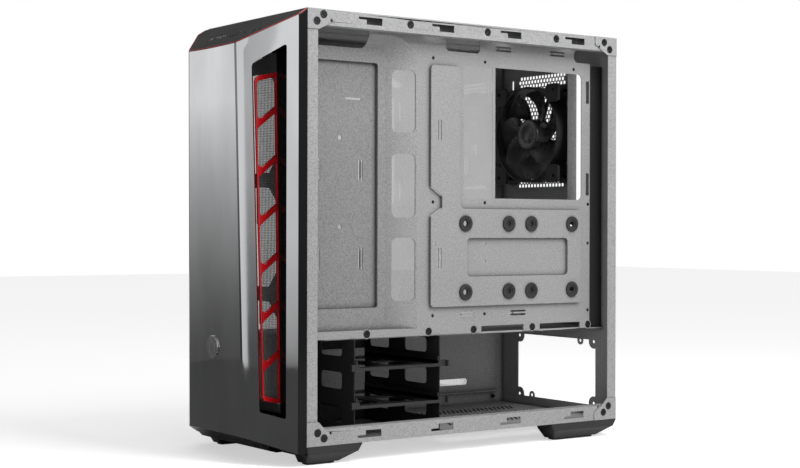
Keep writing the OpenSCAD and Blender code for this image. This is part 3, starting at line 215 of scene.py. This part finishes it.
def smoked_glass():
    """Tinted acrylic sheet, clear enough to see through, with faint haze."""
    tint = (0.33, 0.335, 0.35)
    s = Surface("smoked_acrylic", tint, 0.03, 0.9, Alpha=0.36)
    haze = s.noise(18, 4)
    s.colours(s.spread(haze, 0.0, 1.0), shade(tint, 0.85), shade(tint, 1.3))
    s.roughen(haze, 0.004, 0.012)
    s.link(s.spread(haze, 0.34, 0.38), s.bsdf.inputs["Alpha"])
    return s.mat


def circuit_board():
    s = Surface("board_mask", (0.01, 0.06, 0.025), 0.35, Coat_Weight=0.5)
    tracks = s.cells(420)
    s.colours(s.spread(tracks, 0.0, 1.0, (0.1, 0.6)), (0.006, 0.045, 0.018), (0.02, 0.11, 0.045))
    return s.bump(tracks, 0.03 * MM, 0.4).mat


def translucent_black():
    """Smoky fan plastic with a soft moulded sheen."""
    s = Surface("fan_plastic", (0.04, 0.04, 0.042), 0.22, Coat_Weight=0.6, Coat_Roughness=0.16)
    flow = s.noise(45, 3)
    s.colours(s.spread(flow, 0.0, 1.0), (0.03, 0.03, 0.032), (0.075, 0.075, 0.08))
    s.roughen(flow, 0.18, 0.3)
    return s.bump(s.noise(700, 2), 0.03 * MM, 0.2).mat


# Painted shade on the tray: its coat is painted darker deeper into the recess.
TRAY_RECESS_SHADE = (86.5 * MM, 76 * MM, 0.7)  # start X, darkest X and shade

STEEL = powder_coat("powder_coated_steel", (0.37, 0.37, 0.375), 0.5)
# The tray's coat carries the painted recess shade.
TRAY_STEEL = powder_coat("powder_coated_tray", (0.345, 0.345, 0.345), 0.52, TRAY_RECESS_SHADE)
# Black steel; on the tray return it is painted shade.
BLACK_STEEL_AND_SHADE = powder_coat("black_steel", (0.03, 0.03, 0.031), 0.5)
SCREW = plated("black_zinc", (0.045, 0.045, 0.047), 0.34)
BRIGHT = plated("bright_plating", (0.8, 0.8, 0.82), 0.18)
BLACK_PLASTIC = moulded("black_moulding", (0.012, 0.012, 0.0125), 0.42)
TRAY_PLASTIC = moulded("tray_moulding", (0.012, 0.012, 0.013), 0.4)
SATIN = moulded("satin_top", (0.05, 0.05, 0.052), 0.42, 0.3)
BUTTON = moulded("button_plastic", (0.045, 0.045, 0.047), 0.3, 0.25)
TONGUE = moulded("black_tongue", (0.015, 0.015, 0.016), 0.35, 0.2)
RUBBER = rubber("black_rubber", (0.022, 0.022, 0.023))
GREY_RUBBER = rubber("grey_rubber", (0.06, 0.06, 0.062))
MIRROR = gloss("smoked_mirror", (0.62, 0.625, 0.635), 0.04, metallic=1.0, coat=0.0)
GLOSS_BLACK = gloss("gloss_black", (0.005, 0.005, 0.0055), 0.12, coat=0.0, specular=0.15)
RED = gloss("red_trim", (0.50, 0.008, 0.012), 0.12)
PINK = gloss("pinstripe_red", (0.5, 0.07, 0.075), 0.2)
CLEAR = gloss("clear_pipe", (0.85, 0.86, 0.88), 0.08)
WIRE = moulded("mesh_wire", (0.10, 0.10, 0.102), 0.45, 0.2)
GLASS = smoked_glass()
BOARD = circuit_board()
FAN = translucent_black()

FINISH = {
    STEEL: ["base_plate", "top_plate", "front_plate", "rear_plate", "right_top_rail", "right_bottom_rail",
            "left_top_rail", "left_bottom_rail", "corner_plates", "psu_shroud", "slot_shield"],
    TRAY_STEEL: ["motherboard_tray"],
    # tray_return takes the black finish as painted shade of the narrow channel behind the tray.
    BLACK_STEEL_AND_SHADE: ["drive_cage", "slot_covers", "tray_return"],
    SCREW: ["chassis_screws", "slot_cover_screws", "fan_screws", "shield_thumbscrews", "window_thumbscrews",
            "standoffs"],
    BRIGHT: ["usb_shells", "badge"],
    BLACK_PLASTIC: ["front_feet", "rear_feet", "bottom_filter_frame", "top_filter_frame", "fan_frame",
                    "audio_jacks"],
    TRAY_PLASTIC: ["drive_tray_upper", "drive_tray_lower"],
    SATIN: ["io_panel"],
    BUTTON: ["power_button", "reset_button"],
    TONGUE: ["usb_tongues"],
    RUBBER: ["ssd_grommets", "foot_pads"],
    GREY_RUBBER: ["window_washers"],
    MIRROR: ["mirror_panel"],
    GLOSS_BLACK: ["bezel_frame"],
    RED: ["trim_right", "trim_left"],
    PINK: ["pinstripe"],
    CLEAR: ["led_pipe"],
    WIRE: ["bottom_filter_mesh", "top_filter_mesh", "intake_mesh_right", "intake_mesh_left"],
    GLASS: ["window_panel"],
    BOARD: ["io_board"],
    FAN: ["fan_rotor"],
}
for finish, names in FINISH.items():
    for name in names:
        slots = NODES[name].data.materials
        slots.clear()
        slots.append(finish)


# ------------------------------------------------------------ softened edges

CREASE_ANGLE = math.radians(35)
BEVEL_ANGLE = math.radians(40)
BEVEL_SEGMENTS = 2
WELD = 0.002 * MM


def smoothing_group():
    """Joins each CAD face to its neighbours and keeps creases over CREASE_ANGLE sharp."""
    group = bpy.data.node_groups.new("smooth_faces", "GeometryNodeTree")
    group.interface.new_socket("Geometry", in_out="INPUT", socket_type="NodeSocketGeometry")
    group.interface.new_socket("Geometry", in_out="OUTPUT", socket_type="NodeSocketGeometry")
    new = group.nodes.new
    start, end = new("NodeGroupInput"), new("NodeGroupOutput")
    merge = new("GeometryNodeMergeByDistance")
    merge.inputs["Distance"].default_value = WELD
    drop = new("GeometryNodeRemoveAttribute")
    drop.inputs["Name"].default_value = "custom_normal"
    faces, edges = new("GeometryNodeSetShadeSmooth"), new("GeometryNodeSetShadeSmooth")
    edges.domain = "EDGE"
    angle, under = new("GeometryNodeInputMeshEdgeAngle"), new("FunctionNodeCompare")
    under.operation = "LESS_THAN"
    under.inputs["B"].default_value = CREASE_ANGLE
    chain = [start, merge, drop, faces, edges, end]
    for a, b in zip(chain, chain[1:]):
        group.links.new(a.outputs["Geometry"], b.inputs["Geometry"])
    group.links.new(angle.outputs["Unsigned Angle"], under.inputs["A"])
    group.links.new(under.outputs["Result"], edges.inputs["Shade Smooth"])
    return group


SMOOTH = smoothing_group()


def smooth(obj):
    obj.modifiers.new("smooth", "NODES").node_group = SMOOTH


def soften(name, width):
    """Smooth a CAD node, and round its hard edges by a width in millimetres if that isn't 0."""
    node = NODES[name]
    smooth(node)
    if width:
        bevel = node.modifiers.new("edges", "BEVEL")
        bevel.width = width * MM
        bevel.segments = BEVEL_SEGMENTS
        bevel.limit_method = "ANGLE"
        bevel.angle_limit = BEVEL_ANGLE
        bevel.use_clamp_overlap = False
        bevel.harden_normals = True


EDGES = {
    "corner_plates": 0.2, "right_top_rail": 0.2, "right_bottom_rail": 0.2, "chassis_screws": 0.35,
    "front_feet": 0.8, "rear_feet": 0.8, "foot_pads": 0.4, "trim_right": 0.5, "trim_left": 0.5,
    "power_button": 0.3, "reset_button": 0.3, "badge": 0.35, "fan_frame": 0.3, "ssd_grommets": 0.3,
    "window_panel": 0.3, "io_panel": 0.15, "drive_tray_upper": 0.3, "drive_tray_lower": 0.3,
    "slot_shield": 0.2, "psu_shroud": 0.15, "mirror_panel": 0, "bezel_frame": 0,
}
for name, width in EDGES.items():
    soften(name, width)


# --------------------------------------------------------------- mesh builder

def mesh_object(name, mesh, finish):
    """Turn a bmesh into an object in the scene, with its finish."""
    data = bpy.data.meshes.new(name)
    mesh.to_mesh(data)
    mesh.free()
    obj = bpy.data.objects.new(name, data)
    SCENE.collection.objects.link(obj)
    data.materials.append(finish)
    return obj


def piece(name, mesh, body, finish, node):
    """Make a visual piece that stands in for a CAD node and rides on its body."""
    bmesh.ops.recalc_face_normals(mesh, faces=mesh.faces)
    obj = mesh_object(name, mesh, finish)
    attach(obj, body)
    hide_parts(node)
    return obj


def add_bar(mesh, a, b, side, up, half):
    """Square bar from a to b; side and up are unit vectors across it."""
    ends = []
    for p in (a, b):
        ends.append([mesh.verts.new(p + side * sx * half + up * sy * half)
                     for sx, sy in ((-1, -1), (1, -1), (1, 1), (-1, 1))])
    for i in range(4):
        j = (i + 1) % 4
        mesh.faces.new((ends[0][i], ends[0][j], ends[1][j], ends[1][i]))
    mesh.faces.new(ends[0][::-1])
    mesh.faces.new(ends[1])


# ------------------------------------------------------------------ wire mesh

FILTER_WIRE = 0.24 * MM


def filter_mesh(name, node, pitch, body):
    """Flat dust filter cloth: two layers of crossing wires inside the CAD sheet's box."""
    low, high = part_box(node)
    mid = (low.z + high.z) / 2
    half = FILTER_WIRE / 2
    x_dir, y_dir, z_dir = Vector((1, 0, 0)), Vector((0, 1, 0)), Vector((0, 0, 1))
    mesh = bmesh.new()
    for i in range(int((high.x - low.x) / pitch) + 1):
        x = low.x + i * pitch
        add_bar(mesh, Vector((x, low.y, mid + half)), Vector((x, high.y, mid + half)), x_dir, z_dir, half)
    for i in range(int((high.y - low.y) / pitch) + 1):
        y = low.y + i * pitch
        add_bar(mesh, Vector((low.x, y, mid)), Vector((high.x, y, mid)), y_dir, z_dir, half)
    piece(name, mesh, body, WIRE, node)


filter_mesh("bottom_filter_cloth", "bottom_filter_mesh", 1.8 * MM, "bottom_filter")
filter_mesh("top_filter_cloth", "top_filter_mesh", 2.0 * MM, "top_filter")

INTAKE_PITCH = 1.7 * MM
INTAKE_WIRE = 0.5 * MM
INTAKE_THICK = 0.8 * MM
INTAKE_LOW_REACH = 0.785  # depth at the foot, as a share of the depth at the top


def intake_cloth(side, node):
    """Slanted mesh behind a red trim frame. It leans outwards towards its foot."""
    low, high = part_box(node)
    if side > 0:
        x_top, x_low = low.x + INTAKE_THICK / 2, high.x - INTAKE_THICK / 2
    else:
        x_top, x_low = high.x - INTAKE_THICK / 2, low.x + INTAKE_THICK / 2
    tall = high.z - low.z
    deep = high.y - low.y

    def place(f, h):
        """Point on the cloth at a distance f forward of its rear edge and at height h."""
        return Vector((x_top + (x_low - x_top) * (high.z - h) / tall, high.y - f, h))

    def reach(h):
        """How far forward the cloth goes at height h."""
        return deep * (INTAKE_LOW_REACH + (1 - INTAKE_LOW_REACH) * (h - low.z) / tall)

    across = (place(0, high.z) - place(0, low.z)).normalized()
    out = Vector((side, 0, 0))
    fore = Vector((0, -1, 0))
    half = INTAKE_WIRE / 2
    mesh = bmesh.new()
    rows = int((tall - 4 * MM) / INTAKE_PITCH)
    for i in range(1, rows):
        h = low.z + 2 * MM + i * INTAKE_PITCH
        add_bar(mesh, place(0, h), place(reach(h) - 1 * MM, h), across, out, half)
    for i in range(1, int(deep / INTAKE_PITCH)):
        f = i * INTAKE_PITCH
        top = high.z - 2 * MM - f * 0.2
        foot = low.z + 1 * MM + f * 0.2
        if reach(foot) < f:
            foot = low.z + tall * (f / deep - INTAKE_LOW_REACH) / (1 - INTAKE_LOW_REACH)
        if foot < top:
            add_bar(mesh, place(f, foot), place(f, top), fore, out, half)
    piece(node.replace("mesh", "cloth"), mesh, "bezel", WIRE, node)


intake_cloth(1, "intake_mesh_right")
intake_cloth(-1, "intake_mesh_left")


# ------------------------------------------------------------------ fan rotor

BLADES = 7
HUB_R = 19.5 * MM
HUB_STEPS = 72
ROOT_SINK = 1 * MM  # how far a blade starts inside the hub
BLADE_SWEEP = math.radians(34)
BLADE_CHORD = math.radians(56)
BLADE_HALF_THICK = 0.75 * MM
CHORD_STEPS = 12
SPAN_STEPS = 16


def add_hub(mesh, cx, cz, front, back):
    """Hub with a rounded cap and a hollow back, turned from its profile."""
    profile = [(0, front + 0.6 * MM), (9 * MM, front + 0.6 * MM), (9.6 * MM, front + 0.2 * MM),
               (HUB_R - 3 * MM, front), (HUB_R - 1 * MM, front + 0.6 * MM), (HUB_R, front + 2.2 * MM),
               (HUB_R, back), (HUB_R - 2 * MM, back), (HUB_R - 2 * MM, back - 4 * MM), (0, back - 4 * MM)]
    turns = [2 * math.pi * k / HUB_STEPS for k in range(HUB_STEPS)]
    rings = []
    for r, y in profile:
        if r == 0:
            rings.append([mesh.verts.new((cx, y, cz))])
            continue
        rings.append([mesh.verts.new((cx + r * math.cos(a), y, cz + r * math.sin(a))) for a in turns])
    for a, b in zip(rings, rings[1:]):
        for k in range(HUB_STEPS):
            n = (k + 1) % HUB_STEPS
            corners = [a[k % len(a)], a[n % len(a)], b[n % len(b)], b[k % len(b)]]
            mesh.faces.new(list(dict.fromkeys(corners)))


def blade_skin(mesh, cx, cz, front, back, tip, base, side):
    """Grid of points over one side of a blade, from its root to its tip."""
    grid = []
    for i in range(SPAN_STEPS + 1):
        s = i / SPAN_STEPS
        r = (HUB_R - ROOT_SINK) + (tip - HUB_R + ROOT_SINK) * s
        sweep = BLADE_SWEEP * s ** 1.3
        chord = BLADE_CHORD * (1 - 0.08 * s)
        row = []
        for j in range(CHORD_STEPS + 1):
            t = j / CHORD_STEPS
            camber = 0.16 * math.sin(math.pi * t)
            a = base + sweep + chord * (t - 0.5)
            lift = (t + camber) * (1 - 0.28 * s) + 0.14 * s
            thick = side * BLADE_HALF_THICK * (1 - abs(2 * t - 1) ** 4 * 0.7)
            y = front + 1.5 * MM + (back - front - 3.6 * MM) * min(lift, 1.0) + thick
            row.append(mesh.verts.new((cx + r * math.cos(a), y, cz + r * math.sin(a))))
        grid.append(row)
    return grid


def close_blade(mesh, first, second):
    """Faces over both skins and around the blade's rim."""
    for grid in (first, second):
        for i in range(SPAN_STEPS):
            for j in range(CHORD_STEPS):
                mesh.faces.new((grid[i][j], grid[i + 1][j], grid[i + 1][j + 1], grid[i][j + 1]))
    for i in range(SPAN_STEPS):
        for j in (0, CHORD_STEPS):
            mesh.faces.new((first[i][j], first[i + 1][j], second[i + 1][j], second[i][j]))
    for j in range(CHORD_STEPS):
        for i in (0, SPAN_STEPS):
            mesh.faces.new((first[i][j], first[i][j + 1], second[i][j + 1], second[i][j]))


def fan_rotor():
    """Hub, and seven swept blades that twist towards the tip."""
    low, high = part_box("fan_rotor")
    cx, cz = (low.x + high.x) / 2, (low.z + high.z) / 2
    tip = (high.x - low.x) / 2
    front, back = low.y, high.y - 1.6 * MM
    mesh = bmesh.new()
    add_hub(mesh, cx, cz, front, back)
    for blade in range(BLADES):
        base = 2 * math.pi * blade / BLADES
        skins = [blade_skin(mesh, cx, cz, front, back, tip, base, side) for side in (-1, 1)]
        close_blade(mesh, *skins)
    for face in mesh.faces:
        face.smooth = True
    smooth(piece("fan_impeller", mesh, "fan_rotor", FAN, "fan_rotor"))


fan_rotor()


# ---------------------------------------------------------------- camera, set

CAMERA_PLACE = (1.43506, -1.01891, 0.24245)
CAMERA_LENS = 68.9987
CAMERA_AZIMUTH = math.radians(54.6649)
CAMERA_PITCH = math.radians(-0.1761)
CAMERA_ROLL = math.radians(-0.1363)


def camera():
    """Camera fitted to the standard hole patterns on the tray and the rear plate."""
    data = bpy.data.cameras.new("camera")
    data.lens = CAMERA_LENS
    data.sensor_width = 36.0
    obj = bpy.data.objects.new("camera", data)
    obj.location = CAMERA_PLACE
    obj.rotation_euler = (math.pi / 2 + CAMERA_PITCH, CAMERA_ROLL, CAMERA_AZIMUTH)
    SCENE.collection.objects.link(obj)
    SCENE.camera = obj


KEY_PLACE = Vector((0.75, 0.12, 1.05))
KEY_TARGET = Vector((0, 0.02, 0.3))
KEY_SIZE = (0.5, 0.9)
KEY_WATTS = 11


def key_light():
    """Soft box above the open side."""
    data = bpy.data.lights.new("key", "AREA")
    data.shape = "RECTANGLE"
    data.size, data.size_y = KEY_SIZE
    data.energy = KEY_WATTS
    obj = bpy.data.objects.new("key", data)
    obj.location = KEY_PLACE
    obj.rotation_euler = (KEY_TARGET - KEY_PLACE).to_track_quat("-Z", "Y").to_euler()
    SCENE.collection.objects.link(obj)


FLOOR_SIZE = 12
FLOOR_GLOW = 0.55


def floor():
    """Pale flat ground. A glow that only camera rays see lifts it to paper white."""
    bpy.ops.mesh.primitive_plane_add(size=FLOOR_SIZE)
    obj = bpy.context.object
    obj.name = "floor"
    s = Surface("pale_floor", (0.93, 0.93, 0.93), 0.6)
    s.colours(s.spread(s.noise(3, 3), 0.0, 1.0), (0.92, 0.92, 0.92), (0.94, 0.94, 0.94))
    path = s.tree.nodes.new("ShaderNodeLightPath")
    seen = s.spread(path.outputs["Is Camera Ray"], 0.0, FLOOR_GLOW, (0.0, 1.0))
    s.constant("Emission Color", (1, 1, 1, 1))
    s.link(seen, s.bsdf.inputs["Emission Strength"])
    obj.data.materials.append(s.mat)


LIGHT_FROM = Vector((0.86, 0.18, 0.48)).normalized()
SHADE_SIDE = 0.06  # world strength away from the light
BRIGHT_SIDE = 0.75  # and towards it


def world_light():
    """White to camera rays. The light it gives comes mostly from the open side."""
    world = bpy.data.worlds.new("studio")
    world.use_nodes = True
    tree = world.node_tree
    background = tree.nodes["Background"]
    background.inputs["Color"].default_value = (1, 1, 1, 1)
    coords = tree.nodes.new("ShaderNodeTexCoord")
    dot = tree.nodes.new("ShaderNodeVectorMath")
    dot.operation = "DOT_PRODUCT"
    dot.inputs[1].default_value = LIGHT_FROM
    tree.links.new(coords.outputs["Generated"], dot.inputs[0])
    glow = map_range(tree, dot.outputs["Value"], SHADE_SIDE, BRIGHT_SIDE, (-0.35, 1.0))
    path = tree.nodes.new("ShaderNodeLightPath")
    mix = tree.nodes.new("ShaderNodeMix")
    tree.links.new(path.outputs["Is Camera Ray"], mix.inputs["Factor"])
    tree.links.new(glow, mix.inputs["A"])
    mix.inputs["B"].default_value = 1.0
    tree.links.new(mix.outputs["Result"], background.inputs["Strength"])
    SCENE.world = world
    SCENE.view_settings.view_transform = "Standard"


# Cards stand around the front. Only reflections see them, so they shape the shine of the bezel.
CARD_CENTRE = Vector((0.06, -0.24, 0.0))
CARD_R = 1.1
CARD_FOOT, CARD_TOP = -0.1, 0.9
CARD_STEPS = 8
GLOW_RISE = 0.45
# Start and stop in degrees from straight ahead, glow at the floor, glow at GLOW_RISE, power
CARDS = {
    "front_card": (-80, -50, 0.1, 0.95, 1.8),
    "front_shade": (-50, -18, 0.04, 0.3, 2.0),
    "bend_card": (-18, 10.5, 0.7, 0.95, 1.0),
    "facet_card": (10.5, 14.2, 0.1, 0.62, 1.5),
    "facet_edge_card": (14.2, 34, 0.1, 0.95, 0.4),
}


def reflect_only(obj):
    """Hide an object from all but glossy rays."""
    for flag in ("visible_camera", "visible_diffuse", "visible_shadow", "visible_transmission"):
        setattr(obj, flag, False)


def low_card():
    """Dark patch on the floor ahead of the case, seen only in reflections."""
    bpy.ops.mesh.primitive_plane_add(size=1)
    obj = bpy.context.object
    obj.name = "low_card"
    obj.scale = (3.0, 1.4, 1)
    obj.location = (0, -0.97, 0.001)
    mat = bpy.data.materials.new("low_card")
    mat.use_nodes = True
    bsdf = mat.node_tree.nodes["Principled BSDF"]
    bsdf.inputs["Base Color"].default_value = (0, 0, 0, 1)
    bsdf.inputs["Specular IOR Level"].default_value = 0
    bsdf.inputs["Emission Color"].default_value = (1, 1, 1, 1)
    bsdf.inputs["Emission Strength"].default_value = 0.075
    obj.data.materials.append(mat)
    reflect_only(obj)


def card_glow(name, foot, head, power):
    """Light that rises from foot at the floor to head at GLOW_RISE, along a power curve."""
    mat = bpy.data.materials.new(name)
    mat.use_nodes = True
    tree = mat.node_tree
    tree.nodes.remove(tree.nodes["Principled BSDF"])
    glow = tree.nodes.new("ShaderNodeEmission")
    tree.links.new(glow.outputs[0], tree.nodes["Material Output"].inputs["Surface"])
    height = map_range(tree, object_place(tree, "Z"), 0.0, 1.0, (0.0, GLOW_RISE))
    curve = tree.nodes.new("ShaderNodeMath")
    curve.operation = "POWER"
    curve.inputs[1].default_value = power
    scale = tree.nodes.new("ShaderNodeMath")
    scale.operation = "MULTIPLY_ADD"
    scale.inputs[1].default_value = head - foot
    scale.inputs[2].default_value = foot
    tree.links.new(height, curve.inputs[0])
    tree.links.new(curve.outputs[0], scale.inputs[0])
    tree.links.new(scale.outputs[0], glow.inputs["Strength"])
    return mat


def card(name, start, stop, foot, head, power):
    """Curved upright card between two angles from straight ahead."""
    mesh = bmesh.new()
    columns = []
    for i in range(CARD_STEPS + 1):
        a = math.radians(start + (stop - start) * i / CARD_STEPS)
        p = CARD_CENTRE + CARD_R * Vector((math.sin(a), -math.cos(a), 0))
        columns.append([mesh.verts.new(p + Vector((0, 0, z))) for z in (CARD_FOOT, CARD_TOP)])
    for a, b in zip(columns, columns[1:]):
        mesh.faces.new((a[0], b[0], b[1], a[1]))
    reflect_only(mesh_object(name, mesh, card_glow(name, foot, head, power)))


camera()
floor()
world_light()
key_light()
for card_name, shape in CARDS.items():
    card(card_name, *shape)
low_card()
